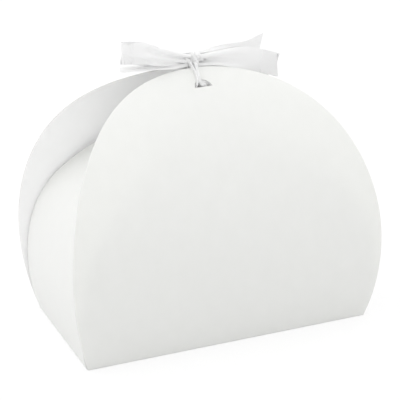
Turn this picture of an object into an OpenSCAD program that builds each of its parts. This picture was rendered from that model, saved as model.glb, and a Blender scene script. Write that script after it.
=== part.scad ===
// Guest cake box: one folded board blank, closed at its crown by a satin ribbon bow.
// Millimetres, +Z up. The origin is the middle of the base's underside.
// The front and back panels lean out from their creases, bow, and meet at the crown.
// The end panels are tongues that tuck in between them.

/* [Base] */
// Length of the base, between the two end creases
base_l = 129; // [110:0.5:170]
// Depth of the base, between the front and back creases
base_d = 73.5; // [58:0.5:95]

/* [Board] */
// Thickness of the board
board_t = 0.5; // [0.35:0.05:0.8]
// Gap kept between panels that slide past each other
clearance = 0.3; // [0.2:0.05:0.5]
// Gap between the bead of a crease and the panel that turns on it
crease_gap = 0.1; // [0.05:0.01:0.2]
// How far the base's edge laps over the bead of a crease
bead_lap = 0.08; // [0.04:0.01:0.12]

/* [Front and back panels] */
// Length of a panel along its surface, from crease to crown
panel_l = 128; // [105:0.5:160]
// How far a panel's side swells past the end of its crease
side_swell = 5.5; // [3:0.5:9]
// Length along the surface from the crease to the widest place
widest_l = 37; // [25:0.5:50]
// Length of the lower, slowest bend
lower_bend_l = 40; // [30:0.5:50]
// Turn of the lower bend, in degrees
lower_turn = 17; // [10:0.5:24]
// Length of the middle bend
middle_bend_l = 44; // [30:0.5:52]
// Turn of the middle bend, in degrees
middle_turn = 26; // [18:0.5:34]
// Turn of the upper bend, in degrees
upper_turn = 34; // [24:0.5:44]
// Gap between the two panels at the crown
crown_gap = 6; // [4:0.5:12]

/* [Ribbon hole] */
// Diameter of the half-moon hole
hole_d = 7.6; // [6:0.1:10]
// Length along the surface from the crown down to the hole's flat side
hole_drop = 11.3; // [9:0.1:16]
// Place of the hole's centre, to the right of the middle
hole_x = 1; // [-2:0.1:2]

/* [End panels] */
// Length of an end panel along its surface, from crease to tip
end_l = 104; // [85:0.5:115]
// Lean of an end panel at its crease, outwards, in degrees
end_lean = 16; // [8:0.5:22]
// Length of the end panel's lower bend
end_lower_l = 46; // [36:0.5:56]
// Turn of the end panel's lower bend, in degrees
end_lower_turn = 36; // [24:0.5:42]
// Length of the end panel's middle bend
end_middle_l = 25; // [16:0.5:30]
// Turn of the end panel's middle bend, in degrees
end_middle_turn = 29; // [20:0.5:34]
// Turn of the end panel's upper bend, in degrees
end_upper_turn = 16; // [8:0.5:20]
// Radius of the end panel's two tip corners
end_corner_r = 12; // [6:0.5:16]

/* [Ribbon] */
// Width of the ribbon
ribbon_w = 10; // [8:0.5:13]
// Thickness of the ribbon
ribbon_t = 0.4; // [0.3:0.05:0.6]
// Width of the gathered ribbon where it goes through a hole
gather_w = 2.4; // [1.8:0.1:2.8]
// Thickness of the gathered ribbon
gather_t = 1.2; // [0.8:0.1:1.5]
// Length of the knot, along the bow
knot_l = 7.5; // [6:0.1:10]
// Thickness of the knot at its middle
knot_d = 6; // [5:0.1:8]
// Thickness of the knot at its two ends
knot_end_d = 4.8; // [3.6:0.1:4.9]
// Length over which the ribbon spreads from the knot to its full width
gather_l = 12; // [8:0.5:16]
// How far the gathered ribbon sits to the left of the hole's centre
leg_shift = 1.3; // [0.5:0.1:1.6]
// Length of the left loop, from the knot
left_loop_l = 29; // [22:0.5:36]
// Rise of the left loop, in degrees
left_loop_rise = 12; // [0:1:20]
// Length of the right loop, from the knot
right_loop_l = 36; // [28:0.5:44]
// Fall of the right loop, in degrees
right_loop_fall = 9; // [0:1:14]
// Greatest opening of a loop, front to back
loop_open = 8; // [5:0.5:11]
// Width of a loop's closed neck at the knot
loop_neck = 1.2; // [1:0.1:2]
// Length of the left tail, from the knot
left_tail_l = 31; // [22:0.5:40]
// Length of the right tail, from the knot
right_tail_l = 34; // [24:0.5:42]
// Rise of the right tail, in degrees
right_tail_rise = 5; // [0:1:14]
// Turn of the right tail towards the back, in degrees
right_tail_yaw = 14; // [10:1:20]
// How much longer a tail is on the long side of its angled cut
tail_cut = 5; // [2:0.5:8]

/* [Hidden] */
$fn = 240;

board_colour = "whitesmoke";
ribbon_colour = "white";
half_l = base_l / 2;
half_d = base_d / 2;
half_t = board_t / 2;
bead_r = half_t;
knuckle_r = bead_r + crease_gap;
far = 2 * (base_l + panel_l);
outline_steps = 32;
sheet_steps = 36;

// A bowed panel is a chain of bends, each [length, turn], seen from the end of its crease:
// inwards is the first coordinate and up the second. A lean is measured inwards from upright.
function inward_normal(lean) = [cos(lean), -sin(lean)];
function bend_r(bend) = bend[0] / (bend[1] * PI / 180);
function on_bend(bend, lean, v) =
    bend_r(bend) * (inward_normal(lean) - inward_normal(lean + bend[1] * v / bend[0]));
function is_last(bends, i) = i == len(bends) - 1;
function lean_at(bends, lean, v, i = 0) =
    is_last(bends, i) || v <= bends[i][0]
        ? lean + bends[i][1] * v / bends[i][0]
        : lean_at(bends, lean + bends[i][1], v - bends[i][0], i + 1);
function point_at(bends, lean, v, i = 0) =
    is_last(bends, i) || v <= bends[i][0]
        ? on_bend(bends[i], lean, v)
        : on_bend(bends[i], lean, bends[i][0])
            + point_at(bends, lean + bends[i][1], v - bends[i][0], i + 1);

// Front and back panels: their lean at the crease is the one that leaves the crown gap open.
panel_bends = [[lower_bend_l, lower_turn],
               [middle_bend_l, middle_turn],
               [panel_l - lower_bend_l - middle_bend_l, upper_turn]];
upright_crown = point_at(panel_bends, 0, panel_l);
panel_lean = asin((half_d - crown_gap / 2) / norm(upright_crown)) - atan2(upright_crown.x, upright_crown.y);
function panel_point(v) = point_at(panel_bends, panel_lean, v);
function panel_inner(v) = panel_point(v) + half_t * inward_normal(lean_at(panel_bends, panel_lean, v));
crown = panel_point(panel_l);
crown_z = half_t + crown.y;

// The arched outline: two quarter ellipses that meet at the widest place.
panel_half_w = half_l + side_swell;
upper_reach = panel_l - widest_l;
lower_reach = widest_l / sqrt(1 - pow(half_l / panel_half_w, 2));
lower_angle = asin(widest_l / lower_reach);
function outline_angle(i) = -lower_angle + i * (90 + lower_angle) / outline_steps;
function outline_l(a) = widest_l + (a < 0 ? lower_reach : upper_reach) * sin(a);
panel_edge = [for (i = [0:outline_steps]) let (a = outline_angle(i))
    [panel_half_w * cos(a), panel_point(outline_l(a)).y]];

// Half the room between the front and back panels, against the height above the crease.
room = [for (i = [0:outline_steps]) let (p = panel_inner(i * panel_l / outline_steps)) [p.y, half_d - p.x]];

// End panels: a tongue's edge keeps clear of the arched panels where it stands and, because its tip
// climbs as it swings out, also at the greatest height that the edge reaches on the way.
end_bends = [[end_lower_l, end_lower_turn],
             [end_middle_l, end_middle_turn],
             [end_l - end_lower_l - end_middle_l, end_upper_turn]];
function end_point(v) = point_at(end_bends, -end_lean, v);
function end_room(v) = let (p = end_point(v)) min(lookup(p.y, room), lookup(norm(p), room)) - clearance;
corner_r = min(end_corner_r, end_room(end_l));
function corner_cut(v) =
    let (past = max(0, v - (end_l - corner_r))) corner_r - sqrt(pow(corner_r, 2) - pow(past, 2));
function end_half_w(v) = max(0, end_room(v) - corner_cut(v));
end_edge = [for (i = [0:outline_steps]) let (v = i * end_l / outline_steps) [end_half_w(v), end_point(v).y]];

function reversed(points) = [for (i = [len(points) - 1:-1:0]) points[i]];
function mirrored(edge) = concat(edge, [for (p = reversed(edge)) [-p.x, p.y]]);

// One bowed sheet that rises from a crease on the X axis and leans towards +Y.
function sheet_face(bends, lean, length, side) = [for (i = [0:sheet_steps]) let (v = i * length / sheet_steps)
    point_at(bends, lean, v) + side * half_t * inward_normal(lean_at(bends, lean, v))];
module bent_sheet(bends, lean, length)
    rotate(120, [1, 1, 1])
        linear_extrude(height = far, center = true)
            polygon(concat(sheet_face(bends, lean, length, -1), reversed(sheet_face(bends, lean, length, 1))));

// A bowed sheet trimmed to its edge, and rounded out where it turns on the bead of its crease.
module bent_panel(bends, lean, length, edge)
    translate([0, 0, half_t])
        difference() {
            intersection() {
                bent_sheet(bends, lean, length);
                rotate([90, 0, 0])
                    linear_extrude(height = far, center = true)
                        polygon(mirrored(edge));
            }
            rotate([0, 90, 0])
                cylinder(r = knuckle_r, h = far, center = true);
        }

// Places a piece of an arched panel's crown end: its own Y runs up the surface and its Z points out.
module on_crown(drop) {
    v = panel_l - drop;
    p = panel_point(v);
    translate([0, p.x, half_t + p.y])
        rotate([90 - lean_at(panel_bends, panel_lean, v), 0, 0])
            children();
}

module half_moon()
    intersection() {
        circle(d = hole_d);
        translate([-hole_d, 0])
            square([2 * hole_d, hole_d]);
    }

// An arched panel as seen from its own side, with the hole's place along its crease.
module arched_panel(hole_at)
    difference() {
        bent_panel(panel_bends, panel_lean, panel_l, panel_edge);
        on_crown(hole_drop)
            translate([hole_at, 0, 0])
                linear_extrude(height = hole_d, center = true)
                    half_moon();
    }

module at_front() translate([0, -half_d, 0]) children();
module at_back() translate([0, half_d, 0]) rotate(180) children();
module at_left() translate([-half_l, 0, 0]) rotate(-90) children();
module at_right() translate([half_l, 0, 0]) rotate(90) children();

module front_panel() color(board_colour) at_front() arched_panel(hole_x);
module back_panel() color(board_colour) at_back() arched_panel(-hole_x);

module end_panel() bent_panel(end_bends, -end_lean, end_l, end_edge);
module left_end_panel() color(board_colour) at_left() end_panel();
module right_end_panel() color(board_colour) at_right() end_panel();

// The bead of a scored fold, on the fold's own axis.
module crease_bead(length)
    translate([0, 0, half_t])
        rotate([0, 90, 0])
            cylinder(r = bead_r, h = length, center = true);
module long_bead() crease_bead(base_l - 2 * clearance);
module end_bead() crease_bead(base_d - 2 * (knuckle_r + clearance));
module front_crease() color(board_colour) at_front() long_bead();
module back_crease() color(board_colour) at_back() long_bead();
module left_crease() color(board_colour) at_left() end_bead();
module right_crease() color(board_colour) at_right() end_bead();

// The base stops inside its creases, and its edges are hollowed to take their beads.
base_inset = bead_r - bead_lap;
module base_panel()
    color(board_colour)
        difference() {
            translate([-half_l + base_inset, -half_d + base_inset, 0])
                cube([base_l - 2 * base_inset, base_d - 2 * base_inset, board_t]);
            at_front() crease_bead(far);
            at_back() crease_bead(far);
            at_left() crease_bead(far);
            at_right() crease_bead(far);
        }

// The bow stands on the crown. Its knot is a small barrel that lies along it.
knot_x = hole_x;
knot_z = crown_z + half_t + clearance + knot_d / 2;
knot_sag = (knot_d - knot_end_d) / 2;
knot_arc_r = (pow(knot_l / 2, 2) + pow(knot_sag, 2)) / (2 * knot_sag);
module at_knot() translate([knot_x, 0, knot_z]) children();
module knot_barrel()
    at_knot()
        rotate([0, 90, 0])
            rotate_extrude()
                intersection() {
                    translate([knot_d / 2 - knot_arc_r, 0])
                        circle(r = knot_arc_r);
                    translate([0, -knot_l / 2])
                        square([knot_d, knot_l]);
                }
module ribbon_knot() color(ribbon_colour) knot_barrel();

// Ribbon that leaves the knot starts a little inside it, and is cut back to the knot's face.
module from_knot()
    color(ribbon_colour)
        difference() {
            children();
            knot_barrel();
        }

// Outline of a ribbon's flat side: gathered at the knot, then its full width, with its end cut at a slant.
knot_root = knot_l / 2 - knot_sag;
module ribbon_strip(length, neck, slant)
    translate([knot_root, 0])
        polygon([[0, -neck / 2], [gather_l, -ribbon_w / 2], [length, -ribbon_w / 2],
                 [length - slant, ribbon_w / 2], [gather_l, ribbon_w / 2], [0, neck / 2]]);

// A loop in plan is a drop: closed at the knot, widest past its middle and round at its far end.
loop_steps = 36;
drop_peak = 0.65;
function drop_half(a) = loop_neck / 2 * cos(a / 2) + loop_open / 2 * sin(a) * pow(sin(a / 2), 2) / drop_peak;
function drop_edge(length, inset) = [for (i = [0:loop_steps]) let (a = i * 180 / loop_steps)
    [(length - inset) * (1 - cos(a)) / 2, max(0, drop_half(a) - inset)]];
function drop(length, inset) =
    let (edge = drop_edge(length, inset)) concat(edge, [for (p = reversed(edge)) [p.x, -p.y]]);
module ribbon_loop(length)
    intersection() {
        translate([knot_root, 0, 0])
            linear_extrude(height = ribbon_w, center = true)
                difference() {
                    polygon(drop(length, 0));
                    polygon(drop(length, ribbon_t));
                }
        rotate([90, 0, 0])
            linear_extrude(height = far, center = true)
                ribbon_strip(2 * length, knot_end_d, 0);
    }
module ribbon_left_loop() from_knot() at_knot() rotate([0, -left_loop_rise, 180]) ribbon_loop(left_loop_l);
module ribbon_right_loop() from_knot() at_knot() rotate([0, right_loop_fall, 0]) ribbon_loop(right_loop_l);

// The left tail lies flat under its loop.
module ribbon_left_tail()
    from_knot()
        at_knot()
            translate([0, 0, -knot_end_d / 2 - clearance - ribbon_t])
                rotate(180)
                    linear_extrude(height = ribbon_t)
                        ribbon_strip(left_tail_l, gather_w, tail_cut);

// The right tail stands on edge, and climbs behind its loop.
module ribbon_right_tail()
    from_knot()
        at_knot()
            translate([0, loop_neck / 2 + ribbon_t, 0])
                rotate([0, -right_tail_rise, right_tail_yaw])
                    rotate([90, 0, 0])
                        linear_extrude(height = ribbon_t, center = true)
                            mirror([0, 1])
                                ribbon_strip(right_tail_l, gather_w, tail_cut);

// A leg lies on the outside of its panel from the knot to the hole, where its foot turns in.
leg_x = hole_x - leg_shift;
leg_out = half_t + clearance;
foot_y = clearance + gather_t / 2;
foot_in = half_t + clearance + gather_t;
leg_l = hole_drop + knot_d / 2;
module leg_bar(low, high)
    translate([-gather_w / 2, low.x, low.y])
        cube([gather_w, high.x - low.x, high.y - low.y]);
module gathered_leg(leg_at)
    on_crown(hole_drop)
        translate([leg_at, 0, 0]) {
            leg_bar([foot_y - gather_t / 2, leg_out], [leg_l, leg_out + gather_t]);
            leg_bar([foot_y - gather_t / 2, -foot_in], [foot_y + gather_t / 2, leg_out + gather_t]);
        }
module front_leg_bars() at_front() gathered_leg(leg_x);
module back_leg_bars() at_back() gathered_leg(-leg_x);
module ribbon_front_leg() from_knot() front_leg_bars();
module ribbon_back_leg() from_knot() back_leg_bars();

// The crossing runs straight from one foot to the other, under the crown.
foot = panel_point(panel_l - hole_drop);
foot_lean = lean_at(panel_bends, panel_lean, panel_l - hole_drop);
foot_end = foot + foot_y * [sin(foot_lean), cos(foot_lean)] + foot_in * inward_normal(foot_lean);
crossing_l = 2 * (half_d - foot_end.x + gather_t / 2);
module ribbon_crossing()
    color(ribbon_colour)
        difference() {
            translate([leg_x, 0, half_t + foot_end.y])
                cube([gather_w, crossing_l, gather_t], center = true);
            front_leg_bars();
            back_leg_bars();
        }

base_panel();
front_panel();
back_panel();
left_end_panel();
right_end_panel();
front_crease();
back_crease();
left_crease();
right_crease();
ribbon_knot();
ribbon_left_loop();
ribbon_right_loop();
ribbon_left_tail();
ribbon_right_tail();
ribbon_front_leg();
ribbon_back_leg();
ribbon_crossing();
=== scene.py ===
# %% [markdown]
# # A small cake box of folded board, tied with a satin bow
# The real box is one sheet of white board, die-cut flat, scored, folded and closed at its crown by a ribbon.
# So each board panel starts here as a flat blank that is cut, given its thickness and then bent.
# Each piece of ribbon starts as a flat strip that is pleated and laid along a path.

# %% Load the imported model
from math import asin, atan2, cos, hypot, pi, radians, sin, sqrt

import bmesh
import bpy
import numpy as np
from mathutils import Matrix, Vector


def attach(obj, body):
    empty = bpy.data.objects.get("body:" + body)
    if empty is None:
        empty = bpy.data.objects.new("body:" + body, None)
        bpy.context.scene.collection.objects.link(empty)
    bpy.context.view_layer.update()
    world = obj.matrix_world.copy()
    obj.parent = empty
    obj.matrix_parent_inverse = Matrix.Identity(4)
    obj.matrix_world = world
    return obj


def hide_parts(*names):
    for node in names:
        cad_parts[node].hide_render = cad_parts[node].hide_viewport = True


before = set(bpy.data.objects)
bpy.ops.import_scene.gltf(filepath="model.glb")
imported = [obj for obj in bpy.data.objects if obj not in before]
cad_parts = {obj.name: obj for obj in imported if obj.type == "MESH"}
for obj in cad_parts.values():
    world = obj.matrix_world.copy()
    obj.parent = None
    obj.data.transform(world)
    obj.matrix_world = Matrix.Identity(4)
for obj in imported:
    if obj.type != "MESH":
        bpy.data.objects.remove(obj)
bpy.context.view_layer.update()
print("nodes:", len(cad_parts))

# %% [markdown]
# ## The camera
# The photograph looks from the front left and a little above, through a long lens, tilted by two degrees.
# A camera could be aimed by eye, but this one uses the distance and lens that the box's own corners gave.
# Work is in millimetres, as on a bench, and each piece is brought to metres when it is finished.

# %% Camera
MM = 0.001
PHOTO_PIXELS = 400
FOCAL_PIXELS = 1383.4
AZIMUTH = radians(21.215)
ELEVATION = radians(19.146)
TILT = radians(-2.015)
DISTANCE = 612.5
AIM = Vector((2.34, 0, 52.92))

towards_eye = Vector((-sin(AZIMUTH) * cos(ELEVATION), -cos(AZIMUTH) * cos(ELEVATION), sin(ELEVATION)))
level_right = (-towards_eye).cross(Vector((0, 0, 1))).normalized()
level_up = level_right.cross(-towards_eye)
right = cos(TILT) * level_right + sin(TILT) * level_up
up = cos(TILT) * level_up - sin(TILT) * level_right

camera = bpy.data.objects.new("camera", bpy.data.cameras.new("camera"))
bpy.context.scene.collection.objects.link(camera)
camera_turn = Matrix((right, up, towards_eye)).transposed().to_4x4()
camera.matrix_world = Matrix.Translation((AIM + DISTANCE * towards_eye) * MM) @ camera_turn
camera.data.lens = FOCAL_PIXELS / PHOTO_PIXELS * camera.data.sensor_width
bpy.context.scene.camera = camera
print("lens:", round(camera.data.lens, 1), "mm")

# %% [markdown]
# ## How a board panel bows
# A bowed panel is a chain of gentle bends, each with a length and a turn, like paper drawn over an edge.
# A curve and a modifier could bend it, but a short formula keeps every length along the board exact.
# The front and back lean out at their creases by just the angle that leaves their crowns a small gap apart.

# %% Bends of the board
BASE_L = 129.0
BASE_D = 73.5
BOARD_T = 0.5
HALF_T = BOARD_T / 2
PANEL_L = 128.0
CROWN_GAP = 6.0
PANEL_BENDS = [(40.0, 17.0), (44.0, 26.0), (44.0, 34.0)]
END_L = 104.0
END_LEAN = radians(-16)
END_BENDS = [(46.0, 36.0), (25.0, 29.0), (33.0, 16.0)]


def place_on_bends(bends, lean, length):
    """Place (inwards, up) at a length along the chain of bends, and the lean of the board there."""
    inwards = upwards = 0.0
    for i, (bend_l, bend_turn) in enumerate(bends):
        run = length if i == len(bends) - 1 else min(length, bend_l)
        radius = bend_l / radians(bend_turn)
        lean_after = lean + run / radius
        inwards += radius * (cos(lean) - cos(lean_after))
        upwards += radius * (sin(lean_after) - sin(lean))
        lean = lean_after
        length -= run
        if length <= 0:
            break
    return inwards, upwards, lean


crown_in, crown_up, _ = place_on_bends(PANEL_BENDS, 0, PANEL_L)
PANEL_LEAN = asin((BASE_D / 2 - CROWN_GAP / 2) / hypot(crown_in, crown_up)) - atan2(crown_in, crown_up)
crown_height = HALF_T + place_on_bends(PANEL_BENDS, PANEL_LEAN, PANEL_L)[1]
print("crown at", round(crown_height, 2), "mm")

# %% [markdown]
# ## Cutting the arched blank
# The front and back are the same arched shape: two half ellipses that meet where the panel is widest.
# A half-moon hole near the crown takes the ribbon.
# A circle is stretched to the outline, a second one is halved for the hole, and the space between is filled.
# The long triangles of that filling would bend badly.
# So the sheet is ruled into square fields, and the triangles are dissolved.

# %% Arched blank
HOLE_D = 7.6
HOLE_DROP = 11.3
HOLE_X = 1.0
PANEL_HALF_W = 70.0
WIDEST_L = 37.0
FOLD_START = 0.06
RIM_CORNERS = 240
HOLE_CORNERS = 48
SAME_PLACE = 0.01
FIELD = 2.0
NEAR_LINE = 0.3


def halve(bm, verts, height):
    """Cuts a ring of edges off below a height and closes it with a straight edge."""
    ring = verts + list({edge for vert in verts for edge in vert.link_edges})
    level = {"plane_co": (0, height, 0), "plane_no": (0, -1, 0)}
    cut = bmesh.ops.bisect_plane(bm, geom=ring, clear_outer=True, **level)
    ends = [item for item in cut["geom_cut"] if isinstance(item, bmesh.types.BMVert)]
    bmesh.ops.contextual_create(bm, geom=ends)


def cut_arched_blank(hole_at):
    """The flat outline of an arched panel, crease at the bottom, with its ribbon hole."""
    bm = bmesh.new()
    lower_reach = WIDEST_L / sqrt(1 - (BASE_L / 2 / PANEL_HALF_W) ** 2)
    rim = bmesh.ops.create_circle(bm, segments=RIM_CORNERS, radius=1)["verts"]
    for vert in rim:
        reach = PANEL_L - WIDEST_L if vert.co.y > 0 else lower_reach
        vert.co = (PANEL_HALF_W * vert.co.x, WIDEST_L + reach * vert.co.y, 0)
    halve(bm, rim, FOLD_START)
    hole_l = PANEL_L - HOLE_DROP
    hole = bmesh.ops.create_circle(bm, segments=HOLE_CORNERS, radius=HOLE_D / 2)["verts"]
    bmesh.ops.translate(bm, verts=hole, vec=(hole_at, hole_l, 0))
    halve(bm, hole, hole_l)
    bmesh.ops.remove_doubles(bm, verts=bm.verts[:], dist=SAME_PLACE)
    bmesh.ops.triangle_fill(bm, edges=bm.edges[:], use_beauty=True, normal=(0, 0, 1))
    return bm


def rule_lines(bm, direction):
    """Cuts the flat blank along evenly spaced lines. A corner near a line is taken as being on it."""
    for place in np.arange(-PANEL_HALF_W, PANEL_L, FIELD):
        geom = bm.verts[:] + bm.edges[:] + bm.faces[:]
        bmesh.ops.bisect_plane(bm, geom=geom, dist=NEAR_LINE, plane_co=place * direction, plane_no=direction)


def split_into_fields(bm):
    """Rules the blank into small square fields, so that it can bend smoothly, and takes its filling away."""
    for edge in bm.edges:
        edge.seam = not edge.is_boundary
    rule_lines(bm, Vector((1, 0, 0)))
    filling = [edge for edge in bm.edges if edge.seam]
    bmesh.ops.dissolve_edges(bm, edges=filling)
    left_over = [vert for vert in bm.verts if not vert.is_boundary and len(vert.link_edges) == 2]
    bmesh.ops.dissolve_verts(bm, verts=left_over)
    rule_lines(bm, Vector((0, 1, 0)))


print("arched blank:", 2 * PANEL_HALF_W, "by", PANEL_L, "mm, in fields of", FIELD, "mm")

# %% [markdown]
# ## Thickness, rim and bending
# Board is half a millimetre thick, and a die leaves its cut edge a little crushed.
# So a narrow border is inset first, the sheet is made solid, and its rim is pressed thinner on both sides.
# The flat places are kept as a UV map before bending, so that the board's grain follows the sheet.

# %% Thickness and bending
CRUSH = 0.1
LEVEL = 0.9
SHARP_EDGE = radians(35)
OUTSIDE, INSIDE, CUT_EDGE = 0, 1, 2


def make_solid(bm, thickness):
    """Gives a flat sheet its thickness, half of it on each side."""
    bmesh.ops.solidify(bm, geom=bm.faces[:], thickness=thickness)
    bmesh.ops.recalc_face_normals(bm, faces=bm.faces[:])
    middle = sum(vert.co.z for vert in bm.verts) / len(bm.verts)
    bmesh.ops.translate(bm, verts=bm.verts[:], vec=(0, 0, -middle))


def side_of_board(face):
    """Which side of a flat board a face is on. The outside of the box is the upper side."""
    if abs(face.normal.z) < LEVEL:
        return CUT_EDGE
    return OUTSIDE if face.normal.z > 0 else INSIDE


def keep_flat_places(bm):
    """Keeps each corner's place before bending as a UV map, in metres."""
    flat_place = bm.loops.layers.uv.new("blank")
    for face in bm.faces:
        for loop in face.loops:
            loop[flat_place].uv = loop.vert.co.xy * MM


def thicken_board(bm):
    """Makes the flat blank solid, with a slightly crushed rim."""
    bmesh.ops.inset_region(bm, faces=bm.faces[:], thickness=CRUSH, use_boundary=True, use_even_offset=True)
    bm.normal_update()
    make_solid(bm, BOARD_T)
    rim = {vert for face in bm.faces if side_of_board(face) == CUT_EDGE for vert in face.verts}
    for vert in rim:
        vert.co.z *= (HALF_T - CRUSH) / HALF_T
    bm.normal_update()
    for face in bm.faces:
        face.material_index = side_of_board(face)
    keep_flat_places(bm)


def bend_up(bm, bends, lean):
    """Bends a solid blank up from its crease, which lies along X. Inwards is +Y."""
    for vert in bm.verts:
        along, length, outwards = vert.co
        inwards, upwards, here = place_on_bends(bends, lean, length)
        vert.co = (along, inwards - outwards * cos(here), HALF_T + upwards + outwards * sin(here))


def finish_piece(bm, name, body, slot, *nodes):
    """Brings a finished mesh to metres, makes its object, and hands it to its CAD body."""
    bmesh.ops.scale(bm, vec=(MM, MM, MM), verts=bm.verts[:])
    for face in bm.faces:
        face.smooth = True
    mesh = bpy.data.meshes.new(name)
    bm.to_mesh(mesh)
    bm.free()
    mesh.set_sharp_from_angle(angle=SHARP_EDGE)
    piece = bpy.data.objects.new(name, mesh)
    bpy.context.scene.collection.objects.link(piece)
    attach(piece, body)
    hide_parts(*nodes)
    print(name, "has", len(mesh.polygons), "faces")
    return piece


print("board:", BOARD_T, "mm thick")

# %% [markdown]
# ## Front and back
# Both panels are bent from the same blank. The back is the front turned half round.
# Its hole is on the other side of its blank, so that the two holes face each other in the folded box.


# %% Front and back panels
def turn_piece(bm, angle, axis):
    """Turns a whole piece about an axis through the middle of the base."""
    bmesh.ops.rotate(bm, verts=bm.verts[:], cent=(0, 0, 0), matrix=Matrix.Rotation(angle, 3, axis))


def stand_on_base(bm, quarter_turns, distance):
    """Moves a bent panel out to its crease and turns it to its side of the base."""
    bmesh.ops.translate(bm, verts=bm.verts[:], vec=(0, -distance, 0))
    turn_piece(bm, quarter_turns * pi / 2, "Z")


def make_arched_panel(name, body, node, quarter_turns, hole_at):
    """One arched panel, from its flat blank to its place on the base."""
    bm = cut_arched_blank(hole_at)
    split_into_fields(bm)
    thicken_board(bm)
    bend_up(bm, PANEL_BENDS, PANEL_LEAN)
    stand_on_base(bm, quarter_turns, BASE_D / 2)
    return finish_piece(bm, name, body, "board", node)


board_pieces = [
    make_arched_panel("arched_front", "front", "front_panel", 0, HOLE_X),
    make_arched_panel("arched_back", "back", "back_panel", 2, -HOLE_X),
]

# %% [markdown]
# ## End tongues
# A tongue tucks in between front and back, so its width follows the room between them at each height.
# It swings out past them too, so it also keeps clear at the greatest height that its edge reaches.
# A plain grid has rows across it already, and each row is drawn in to its own width.

# %% End tongues
CLEARANCE = 0.8
TIP_CORNER = 12.0
TONGUE_COLUMNS = 16
TONGUE_ROWS = 96
TIP_ROWS = 16

inner_heights = []
inner_rooms = []
for length in np.linspace(0, PANEL_L, 65):
    panel_in, panel_up, panel_lean = place_on_bends(PANEL_BENDS, PANEL_LEAN, length)
    inner_heights.append(panel_up - HALF_T * sin(panel_lean))
    inner_rooms.append(BASE_D / 2 - panel_in - HALF_T * cos(panel_lean))


def tongue_half_width(length):
    """Half the tongue's width at a length from its crease, with rounded corners at its tip."""
    tongue_in, tongue_up, _ = place_on_bends(END_BENDS, END_LEAN, length)
    standing = np.interp(tongue_up, inner_heights, inner_rooms)
    swinging = np.interp(hypot(tongue_in, tongue_up), inner_heights, inner_rooms)
    past = max(0.0, length - (END_L - TIP_CORNER))
    corner = TIP_CORNER - sqrt(max(0.0, TIP_CORNER**2 - past**2))
    return min(standing, swinging) - CLEARANCE - corner


def tongue_row_length(share):
    """Rows are even up to the tip, and then close up round its corners."""
    straight = 1 - TIP_ROWS / TONGUE_ROWS
    if share <= straight:
        return FOLD_START + (END_L - TIP_CORNER - FOLD_START) * share / straight
    return END_L - TIP_CORNER + TIP_CORNER * sin((share - straight) / (1 - straight) * pi / 2)


def make_tongue(name, body, node, quarter_turns):
    """One end tongue, from its flat blank to its place on the base."""
    bm = bmesh.new()
    bmesh.ops.create_grid(bm, x_segments=TONGUE_COLUMNS, y_segments=TONGUE_ROWS, size=1)
    for vert in bm.verts:
        length = tongue_row_length((vert.co.y + 1) / 2)
        vert.co = (vert.co.x * tongue_half_width(length), length, 0)
    thicken_board(bm)
    bend_up(bm, END_BENDS, END_LEAN)
    stand_on_base(bm, quarter_turns, BASE_L / 2)
    return finish_piece(bm, name, body, "board", node)


board_pieces += [
    make_tongue("left_tongue", "left_end", "left_end_panel", -1),
    make_tongue("right_tongue", "right_end", "right_end_panel", 1),
]

# %% [markdown]
# ## Base and scored creases
# The floor of the box is a plain rectangle of the same board. A fold between it and a panel is a scored line,
# which stands up as a fine bead. The bead lies on the fold's axis, so it closes the fold at every angle.

# %% Base and creases
BASE_COLUMNS = 24
BASE_ROWS = 14
BEAD_R = HALF_T
BEAD_CORNERS = 20
BEAD_ROUNDING = 0.12
BEAD_ROUNDS = 3
LONG_BEAD_STOP = 0.3
SHORT_BEAD_STOP = 0.65
LONG_BEAD = BASE_L - 2 * LONG_BEAD_STOP
SHORT_BEAD = BASE_D - 2 * SHORT_BEAD_STOP


def make_base():
    """The floor of the box. Its blank is turned over, so that the coated side is underneath."""
    bm = bmesh.new()
    bmesh.ops.create_grid(bm, x_segments=BASE_COLUMNS, y_segments=BASE_ROWS, size=0.5)
    bmesh.ops.scale(bm, vec=(BASE_L - 2 * FOLD_START, BASE_D - 2 * FOLD_START, 1), verts=bm.verts[:])
    thicken_board(bm)
    turn_piece(bm, pi, "X")
    bmesh.ops.translate(bm, verts=bm.verts[:], vec=(0, 0, HALF_T))
    return finish_piece(bm, "base", "base", "board", "base_panel")


def make_crease(name, node, quarter_turns, distance, length):
    """A bead with rounded ends along one side of the base."""
    bm = bmesh.new()
    round_bar = {"segments": BEAD_CORNERS, "radius1": BEAD_R, "radius2": BEAD_R, "depth": length}
    bmesh.ops.create_cone(bm, cap_ends=True, **round_bar)
    ends = [edge for edge in bm.edges if abs(edge.verts[0].co.z - edge.verts[1].co.z) < SAME_PLACE]
    bmesh.ops.bevel(
        bm, geom=ends, offset=BEAD_ROUNDING, segments=BEAD_ROUNDS, profile=0.5, affect="EDGES", material=-1
    )
    turn_piece(bm, pi / 2, "Y")
    bmesh.ops.translate(bm, verts=bm.verts[:], vec=(0, 0, HALF_T))
    keep_flat_places(bm)
    stand_on_base(bm, quarter_turns, distance)
    return finish_piece(bm, name, "base", "board", node)


board_pieces += [
    make_base(),
    make_crease("front_score", "front_crease", 0, BASE_D / 2, LONG_BEAD),
    make_crease("back_score", "back_crease", 2, BASE_D / 2, LONG_BEAD),
    make_crease("left_score", "left_crease", -1, BASE_L / 2, SHORT_BEAD),
    make_crease("right_score", "right_crease", 1, BASE_L / 2, SHORT_BEAD),
]

# %% [markdown]
# ## Board finish
# The outside of such board is coated white and faintly satin, the inside is duller, and the cut edge shows
# raw fibre. A flat white would look like plastic. A faint mottle in colour and gloss and a fine fibre bump
# make it paper.
# Thin board lets a little light through, more on its uncoated side, which brightens the inside of the box.
# All three finishes read the flat blank's own UV map, in metres, so the fibres run along the sheet.

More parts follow.
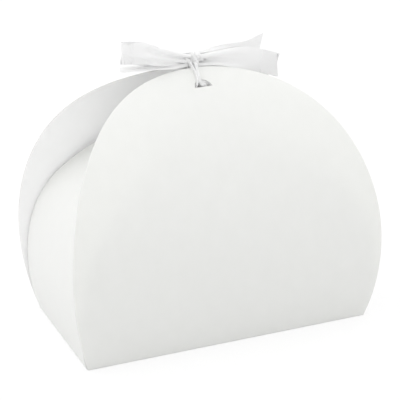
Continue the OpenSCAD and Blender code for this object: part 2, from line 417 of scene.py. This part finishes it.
# %% Board finish
MOTTLE_GRAIN = (160, 110)
FIBRE_GRAIN = (5200, 1500)
FIBRE_BUMP = 0.35


def new_finish(name):
    """A new material, its node tree and its shader."""
    finish = bpy.data.materials.new(name)
    finish.use_nodes = True
    shader = finish.node_tree.nodes["Principled BSDF"]
    return finish, finish.node_tree, shader


def add_node(tree, kind, **settings):
    """Adds a node. A setting named for an input sets that input, and any other sets the node itself."""
    node = tree.nodes.new(kind)
    for key, value in settings.items():
        if key in node.inputs:
            node.inputs[key].default_value = value
        else:
            setattr(node, key, value)
    return node


def fibre_noise(tree, place, grain, detail):
    """Noise that is drawn out along the grain. Grain gives its scale across and along."""
    stretch = add_node(tree, "ShaderNodeMapping", Scale=(*grain, 1))
    tree.links.new(place, stretch.inputs["Vector"])
    noise = add_node(tree, "ShaderNodeTexNoise", Scale=1.0, Detail=detail, Roughness=0.6)
    tree.links.new(stretch.outputs["Vector"], noise.inputs["Vector"])
    return noise.outputs["Fac"]


def ranged(tree, value, low, high):
    """Brings the middle half of a pattern into a range of its own."""
    node = add_node(tree, "ShaderNodeMapRange")
    for socket, bound in (("From Min", 0.25), ("From Max", 0.75), ("To Min", low), ("To Max", high)):
        node.inputs[socket].default_value = bound
    tree.links.new(value, node.inputs["Value"])
    return node.outputs["Result"]


def colour_and_gloss(tree, shader, pattern, dark, light, gloss):
    """Lets a pattern vary the colour between two tones, and the roughness with it."""
    mix = add_node(tree, "ShaderNodeMix", data_type="RGBA")
    mix.inputs["A"].default_value = (*dark, 1)
    mix.inputs["B"].default_value = (*light, 1)
    tree.links.new(ranged(tree, pattern, 0, 1), mix.inputs["Factor"])
    tree.links.new(mix.outputs["Result"], shader.inputs["Base Color"])
    tree.links.new(ranged(tree, pattern, *gloss), shader.inputs["Roughness"])


def raise_fibres(tree, shader, pattern, strength, height):
    """Lets a pattern stand up from the surface as a bump."""
    bump = add_node(tree, "ShaderNodeBump", Strength=strength, Distance=height)
    tree.links.new(pattern, bump.inputs["Height"])
    tree.links.new(bump.outputs["Normal"], shader.inputs["Normal"])


def let_light_through(shader, depth):
    """Light goes in and comes out again about this far on, which is the other side of something thin."""
    shader.inputs["Subsurface Weight"].default_value = 1.0
    shader.inputs["Subsurface Radius"].default_value = (1.0, 1.0, 1.0)
    shader.inputs["Subsurface Scale"].default_value = depth


def board_finish(name, dark, light, gloss, fibre_height, depth):
    """Paper board between two tones, with its range of roughness, its bump and its depth for light."""
    finish, tree, shader = new_finish(name)
    place = add_node(tree, "ShaderNodeUVMap", uv_map="blank").outputs["UV"]
    colour_and_gloss(tree, shader, fibre_noise(tree, place, MOTTLE_GRAIN, 4), dark, light, gloss)
    raise_fibres(tree, shader, fibre_noise(tree, place, FIBRE_GRAIN, 3), FIBRE_BUMP, fibre_height)
    let_light_through(shader, depth)
    shader.inputs["Specular IOR Level"].default_value = 0.4
    return finish


coated = board_finish(
    "coated_board", dark=(0.893, 0.899, 0.876), light=(0.913, 0.919, 0.896),
    gloss=(0.42, 0.52), fibre_height=0.02 * MM, depth=0.3 * MM,
)
uncoated = board_finish(
    "uncoated_board", dark=(0.888, 0.891, 0.878), light=(0.908, 0.911, 0.898),
    gloss=(0.62, 0.75), fibre_height=0.04 * MM, depth=3.0 * MM,
)
raw_edge = board_finish(
    "raw_board_edge", dark=(0.78, 0.775, 0.76), light=(0.84, 0.835, 0.82),
    gloss=(0.8, 0.9), fibre_height=0.08 * MM, depth=0.3 * MM,
)
for piece in board_pieces:
    for finish in (coated, uncoated, raw_edge):
        piece.data.materials.append(finish)
print("board finish on", len(board_pieces), "pieces")

# %% [markdown]
# ## Pleating a ribbon
# Where a ribbon is pulled into a knot its width has to go somewhere, so it folds into fine pleats.
# Squeezing the strip would lose cloth. Here the strip swings left and right like a winding river instead,
# which keeps its whole width on the surface: no swing is flat ribbon, and a strong swing is a tight gather.
# One more turn can be added below a line, for an edge that curls in, or at both edges, for a rounded band.

# %% Ribbon paths and pleats
RIBBON_W = 10.0
RIBBON_T = 0.2
ACROSS = np.linspace(0, 1, 161)
CUFF_W = 0.25
CURL_TURN = radians(-50)
CURL_START = 0.2
CURL_FULL = 0.42
CURL_END = 0.52
CURL_REACH = 0.48
CURL_IN = 0.1
CURL_OUT = 0.08
FOLD_SOFT = 0.06


def ease(share):
    """0 before the range, 1 after it, and a smooth step between."""
    share = np.clip(share, 0, 1)
    return share * share * (3 - 2 * share)


def follow(stations, steps=600):
    """A smooth run through a few given stations, and the length along it."""
    points = np.array(stations, float)
    points = np.vstack([2 * points[0] - points[1], points, 2 * points[-1] - points[-2]])
    share = np.linspace(0, len(stations) - 1, steps)
    start = np.minimum(share.astype(int), len(stations) - 2)
    t = (share - start)[:, None]
    before, here, there, after = (points[start + i] for i in range(4))
    run = 0.5 * (
        2 * here
        + (there - before) * t
        + (2 * before - 5 * here + 4 * there - after) * t**2
        + (3 * here - before - 3 * there + after) * t**3
    )
    length = np.concatenate([[0], np.cumsum(np.linalg.norm(np.diff(run[:, :3], axis=0), axis=1))])
    return run, length


def pleat_across(swing):
    """Sideways and depth places across a ribbon, from the angle that it swings through at each place."""
    middle = (swing[:-1] + swing[1:]) / 2
    step = RIBBON_W / (len(swing) - 1)
    sideways = np.concatenate([[0], np.cumsum(np.cos(middle))]) * step
    depth = np.concatenate([[0], np.cumsum(np.sin(middle))]) * step
    return sideways - sideways.mean(), depth - depth.mean()


def curl_below_fold(here):
    """Turn of a loop's lower edge, below a fold that climbs from the edge up to the loop's far end."""
    fold_at = CURL_REACH * (here - CURL_START) / (CURL_FULL - CURL_START)
    lasting = ease((here - CURL_START) / CURL_IN) * ease((CURL_END - here) / CURL_OUT)
    return CURL_TURN * lasting * ease((fold_at - ACROSS) / FOLD_SOFT)


both_edges = ease((CUFF_W - ACROSS) / CUFF_W) - ease((ACROSS - (1 - CUFF_W)) / CUFF_W)
print("ribbon:", RIBBON_W, "mm wide,", RIBBON_T, "mm thick")

# %% [markdown]
# ## Laying a strip along its path
# A station gives a place, the lean of the ribbon's width from upright towards the viewer, and how far it is
# gathered.
# The strip starts as a plain flat grid, made solid, because satin ribbon has a thickness and two faces.
# Then each of its points is moved to its length along the path and its place across the pleats.


# %% Laying ribbon
def flat_strip(columns, rows):
    """A flat strip of ribbon, one unit wide and one long, with its thickness."""
    bm = bmesh.new()
    bmesh.ops.create_grid(bm, x_segments=columns, y_segments=rows, size=0.5)
    make_solid(bm, RIBBON_T)
    return bm


def across_path(run, along, wide):
    """The direction of the ribbon's width at each place on its path, square to the path."""
    lean = np.radians(run[:, 3])
    across = np.column_stack([0 * lean, -np.sin(lean), np.cos(lean)])
    if wide is not None:
        across = np.tile(np.array(wide, float), (len(run), 1))
    across -= np.sum(across * along, axis=1)[:, None] * along
    return across / np.linalg.norm(across, axis=1)[:, None]


def lay_ribbon(
    name, stations, nodes, waves=3, phase=0.0, slant=0.0, wide=None, curled=False, cuff=0.0, grid=(48, 150)
):
    """Lays a strip along its stations. Slant cuts its end askew, curled and cuff turn its edges in."""
    run, length = follow(stations)
    along = np.gradient(run[:, :3], length, axis=0)
    along /= np.linalg.norm(along, axis=1)[:, None]
    across = across_path(run, along, wide)
    facing = np.cross(along, across)
    sections = []
    for here, gather in zip(length / length[-1], np.maximum(run[:, 4], 0)):
        swing = gather * np.sin(2 * pi * waves * ACROSS + phase) + cuff * both_edges
        if curled:
            swing += curl_below_fold(here)
        sections.append((*pleat_across(swing), swing))
    sections = np.array(sections)
    bm = flat_strip(*grid)
    flat_place = bm.loops.layers.uv.new("strip")
    for vert in bm.verts:
        side = vert.co.x + 0.5
        off_middle = vert.co.z
        end = length[-1] - abs(slant) * (side if slant > 0 else 1 - side)
        here = end * (vert.co.y + 0.5)
        for loop in vert.link_loops:
            loop[flat_place].uv = ((side - 0.5) * RIBBON_W * MM, here * MM)
        row = min(int(np.searchsorted(length, here)), len(length) - 1)
        sideways, depth, turned = (np.interp(side, ACROSS, sections[row, i]) for i in range(3))
        sideways -= off_middle * sin(turned)
        depth += off_middle * cos(turned)
        vert.co = Vector(run[row, :3] + sideways * across[row] + depth * facing[row])
    # Laying mirrors the strip, so its faces are turned back to point outwards.
    bmesh.ops.reverse_faces(bm, faces=bm.faces[:])
    piece = finish_piece(bm, name, "ribbon", "ribbon", *nodes)
    return piece, length[-1]


# %% [markdown]
# ## The two loops
# Each loop leaves the knot gathered, opens to the full width of the ribbon, turns and comes back behind.
# The left one stands up, with its lower edge curled in.
# The right one droops over the front and is creased at its turn.

# %% Loops
TIGHT = 1.6
left_loop_run = [
    (0.2, -0.9, 116.8, 0, TIGHT), (-2.2, -1.3, 117.1, 0, 1.52), (-6.1, -2.0, 118.1, -4, 1.44),
    (-12.3, -3.0, 119.7, -10, 1.15), (-16.2, -3.5, 120.7, -14, 1.1), (-19.5, -3.9, 122.0, -18, 0.75),
    (-22.4, -4.1, 122.7, -20, 0.2), (-26.2, -4.0, 122.8, -18, 0), (-27.3, -3.6, 122.8, -2, 0),
    (-29.6, -0.6, 122.8, 14, 0), (-30.0, 0.5, 122.8, 16, 0), (-29.2, 1.7, 122.7, 12, 0),
    (-22, 2.9, 121.4, 4, 0), (-13, 2.6, 118.7, 0, 1.0), (-5.7, 1.8, 117.2, 0, 1.45),
    (0.2, 0.9, 117.2, 0, TIGHT),
]
right_loop_run = [
    (2.6, -0.9, 116.5, 0, TIGHT), (6.8, -1.5, 116.6, -4, 1.5), (11.8, -2.6, 116.8, -8, 1.3),
    (16.4, -3.5, 116.5, -10, 0.95), (22, -4.1, 115.7, -12, 0.35), (26.6, -4.3, 114.9, -14, 0),
    (30.8, -4.3, 113.6, -12, 0), (31.9, -4.0, 113.2, -8, 0), (37.0, -1.4, 111.2, -6, 0),
    (40.9, 0.8, 109.4, -4, 0), (41.5, 1.7, 109.1, -2, 0), (40.5, 2.4, 109.6, 0, 0),
    (34.5, 3.2, 111.7, 0, 0), (25, 3.4, 114.2, 0, 0.3), (14.5, 2.7, 115.9, 0, 1.2),
    (8, 1.8, 116.5, 0, 1.5), (2.6, 0.9, 116.9, 0, TIGHT),
]
left_loop, left_loop_l = lay_ribbon(
    "left_loop", left_loop_run, ["ribbon_left_loop"], waves=2, phase=pi / 2, curled=True
)
right_loop, right_loop_l = lay_ribbon(
    "right_loop", right_loop_run, ["ribbon_right_loop"], waves=1.3, phase=pi
)
print("loops:", round(left_loop_l, 1), round(right_loop_l, 1), "mm")

# %% [markdown]
# ## The two tails
# A tail is a free end of the ribbon, cut at a slant so that it doesn't fray.
# The left one lies flat under its loop. The right one stands on edge behind its own loop.
# The tip of the right one rises over the loop.

# %% Tails
left_tail_run = [
    (0.2, 0.2, 115.4, 90, TIGHT), (-5, 0.1, 115.1, 90, 1.4), (-12, 0, 115.2, 90, 0.5),
    (-20, 0, 115.6, 90, 0), (-33.3, 0, 116.2, 90, 0),
]
right_tail_run = [
    (3.2, 1.6, 117.0, 0, TIGHT), (8, 3.6, 116.4, 0, 1.5), (13, 5.0, 116.0, 0, 1.0),
    (22, 7.0, 115.0, 0, 0.2), (31, 9.2, 114.9, 0, 0), (40.5, 11.2, 117.2, 0, 0),
]
left_tail, left_tail_l = lay_ribbon(
    "left_tail", left_tail_run, ["ribbon_left_tail"], slant=-3.4, grid=(48, 80)
)
right_tail, right_tail_l = lay_ribbon(
    "right_tail", right_tail_run, ["ribbon_right_tail"], waves=2, phase=0.3, slant=-6.0, grid=(48, 80)
)
print("tails:", round(left_tail_l, 1), round(right_tail_l, 1), "mm")

# %% [markdown]
# ## The knot
# The knot is one turn of the same ribbon round the gathered middle, drawn tight, with both edges rolled in.
# It is laid as a strip round an axis that climbs to the right.
# It goes round a little more than once and widens as it goes, so that its end lies over its start.

# %% Knot
KNOT = Vector((1.35, 0, 116.65))
KNOT_R = 2.45
KNOT_R_STEP = 0.03
KNOT_START = -130
KNOT_STEP = 27
KNOT_STATIONS = 16
KNOT_GATHER = 1.3
KNOT_CUFF = radians(-45)
SLOPE = 0.45
knot_axis = Vector((1, 0, SLOPE)).normalized()
knot_up = Vector((-SLOPE, 0, 1)).normalized()
knot_run = []
for step in range(KNOT_STATIONS):
    angle = radians(KNOT_START + step * KNOT_STEP)
    radius = KNOT_R + KNOT_R_STEP * step
    spot = KNOT + radius * (sin(angle) * Vector((0, 1, 0)) + cos(angle) * knot_up)
    knot_run.append((*spot, 0, KNOT_GATHER))
knot, knot_l = lay_ribbon(
    "knot", knot_run, ["ribbon_knot"], waves=2, phase=-0.8, wide=knot_axis, cuff=KNOT_CUFF, grid=(64, 120)
)
print("knot:", round(knot_l, 1), "mm round")

# %% [markdown]
# ## The legs and the crossing
# Below the knot the gathered ribbon runs down the front, in through the half-moon hole, across under the
# crown, out of the hole behind and up again. It is one strip in the real bow, so it is one strip here.
# Inside the box nothing holds its pleats together, so it opens out behind each hole.

# %% Legs and crossing
DRAWN = 2.05
LOOSE = 0.9
CROSSING_Z = 106.0
CROSSING_REACH = 8.5
leg_side = []
for drop, stand_off, leg_x, gather in (
    (-2.6, 1.1, 0.8, 1.5), (0.6, 1.5, 0.35, 1.75), (4, 1.5, -0.1, DRAWN),
    (7.2, 1.5, -0.55, DRAWN), (8.9, 0.9, -0.6, DRAWN), (9.6, -0.8, 0, 1.4),
):
    leg_in, leg_up, leg_lean = place_on_bends(PANEL_BENDS, PANEL_LEAN, PANEL_L - drop)
    leg_y = -BASE_D / 2 + leg_in - stand_off * cos(leg_lean)
    leg_z = HALF_T + leg_up + stand_off * sin(leg_lean)
    leg_side.append((leg_x, leg_y, leg_z, 0, gather))
under_crown = [(HOLE_X, y, CROSSING_Z, 0, LOOSE) for y in (-CROSSING_REACH, 0, CROSSING_REACH)]
other_side = [(x, -y, z, lean, gather) for x, y, z, lean, gather in reversed(leg_side)]
legs, legs_l = lay_ribbon(
    "legs", leg_side + under_crown + other_side, ["ribbon_front_leg", "ribbon_crossing", "ribbon_back_leg"],
    waves=1.5, phase=pi, wide=(1, 0, 0), grid=(48, 160),
)
print("legs:", round(legs_l, 1), "mm")

# %% [markdown]
# ## Satin
# Satin ribbon has its threads along its length, so it is smooth and shines across them.
# A sheen and a soft gloss give the shine. Fine threads and faint streaks along the strip come from its own UV
# map. The ribbon is thin, so light goes through it and softens the shade in its folds.

# %% Satin finish
STREAK_GRAIN = (900, 40)
THREAD_GRAIN = (9000, 700)
THREAD_BUMP = 0.3
THREAD_HEIGHT = 0.03 * MM
SATIN_DEPTH = 0.3 * MM


def satin_finish(name):
    """White satin, with faint streaks, fine threads, a soft gloss and a sheen."""
    finish, tree, shader = new_finish(name)
    place = add_node(tree, "ShaderNodeUVMap", uv_map="strip").outputs["UV"]
    streaks = fibre_noise(tree, place, STREAK_GRAIN, 3)
    colour_and_gloss(tree, shader, streaks, (0.97, 0.97, 0.97), (0.985, 0.985, 0.985), (0.3, 0.42))
    raise_fibres(tree, shader, fibre_noise(tree, place, THREAD_GRAIN, 2), THREAD_BUMP, THREAD_HEIGHT)
    let_light_through(shader, SATIN_DEPTH)
    shader.inputs["Specular IOR Level"].default_value = 0.5
    shader.inputs["Sheen Weight"].default_value = 0.15
    shader.inputs["Sheen Roughness"].default_value = 0.4
    return finish


satin = satin_finish("white_satin")
ribbon_pieces = [left_loop, right_loop, left_tail, right_tail, knot, legs]
for piece in ribbon_pieces:
    piece.data.materials.append(satin)
print("satin on", len(ribbon_pieces), "pieces")

# %% [markdown]
# ## The ribbon as cut
# Each piece of the bow is a length of the same ribbon, as wide as the ribbon and as long as the path that it
# was laid along. Here the lengths of all the pieces are added up, for the ribbon that the bow took.

# %% Flat sizes
ribbon_l = left_loop_l + right_loop_l + left_tail_l + right_tail_l + knot_l + legs_l
print("ribbon:", round(ribbon_l), "mm in all")

# %% [markdown]
# ## Floor
# The box stands on a plain pale floor. To be white in a picture, it needs more light than the box should get.
# So what the camera sees of it, or a shiny surface mirrors, is partly its own glow: white in the open, with
# the box's shadow left on the rest of it. The light that it throws back on the box is a plain pale floor's.

# %% Floor
FLOOR_HALF = 4.0
FLOOR_Z = -0.05 * MM
PLAIN_FLOOR = (0.75, 0.75, 0.75, 1)
SEEN_FLOOR = (0.3, 0.3, 0.3, 1)
SEEN_GLOW = 0.7

floor_bm = bmesh.new()
bmesh.ops.create_grid(floor_bm, x_segments=8, y_segments=8, size=FLOOR_HALF)
bmesh.ops.translate(floor_bm, verts=floor_bm.verts[:], vec=(0, 0, FLOOR_Z))
floor_mesh = bpy.data.meshes.new("floor")
floor_bm.to_mesh(floor_mesh)
floor_bm.free()
floor = bpy.data.objects.new("floor", floor_mesh)
bpy.context.scene.collection.objects.link(floor)

floor_finish, floor_tree, floor_shader = new_finish("pale_floor")
floor_shader.inputs["Roughness"].default_value = 0.9
floor_shader.inputs["Emission Color"].default_value = (1, 1, 1, 1)
ray = add_node(floor_tree, "ShaderNodeLightPath")
seen = ray.outputs["Is Camera Ray"]
for kind in ("Is Glossy Ray", "Is Transmission Ray"):
    either = add_node(floor_tree, "ShaderNodeMath", operation="MAXIMUM")
    floor_tree.links.new(seen, either.inputs[0])
    floor_tree.links.new(ray.outputs[kind], either.inputs[1])
    seen = either.outputs["Value"]
floor_colour = add_node(floor_tree, "ShaderNodeMix", data_type="RGBA")
floor_colour.inputs["A"].default_value = PLAIN_FLOOR
floor_colour.inputs["B"].default_value = SEEN_FLOOR
floor_glow = add_node(floor_tree, "ShaderNodeMath", operation="MULTIPLY")
floor_glow.inputs[1].default_value = SEEN_GLOW
floor_tree.links.new(seen, floor_colour.inputs["Factor"])
floor_tree.links.new(seen, floor_glow.inputs[0])
floor_tree.links.new(floor_colour.outputs["Result"], floor_shader.inputs["Base Color"])
floor_tree.links.new(floor_glow.outputs["Value"], floor_shader.inputs["Emission Strength"])
floor.data.materials.append(floor_finish)
print("floor:", 2 * FLOOR_HALF, "m wide")

# %% [markdown]
# ## Light
# The photograph was taken in an even white studio light, as in a light tent, a little stronger from the left.
# So the world is plain white all round at a strength of 1, at which a colour shows about as it is written.
# One large soft lamp on the left brightens the tongue on that side.

# %% World and lamp
LAMP_PLACE = Vector((-0.84, 0.28, 1.15))
LAMP_AIM = Vector((0, 0, 0.06))
LAMP_WATTS = 1.9
LAMP_WIDTH = 0.8

world = bpy.data.worlds.new("studio")
bpy.context.scene.world = world
world.use_nodes = True
sky = world.node_tree.nodes["Background"]
sky.inputs["Color"].default_value = (1, 1, 1, 1)
sky.inputs["Strength"].default_value = 1.0

lamp = bpy.data.objects.new("left_lamp", bpy.data.lights.new("left_lamp", "AREA"))
lamp.data.energy = LAMP_WATTS
lamp.data.size = LAMP_WIDTH
lamp.location = LAMP_PLACE
lamp.rotation_euler = (LAMP_AIM - LAMP_PLACE).to_track_quat("-Z", "Y").to_euler()
bpy.context.scene.collection.objects.link(lamp)
bpy.context.scene.view_settings.view_transform = "Standard"
print("lamp:", LAMP_WATTS, "W,", LAMP_WIDTH, "m wide")
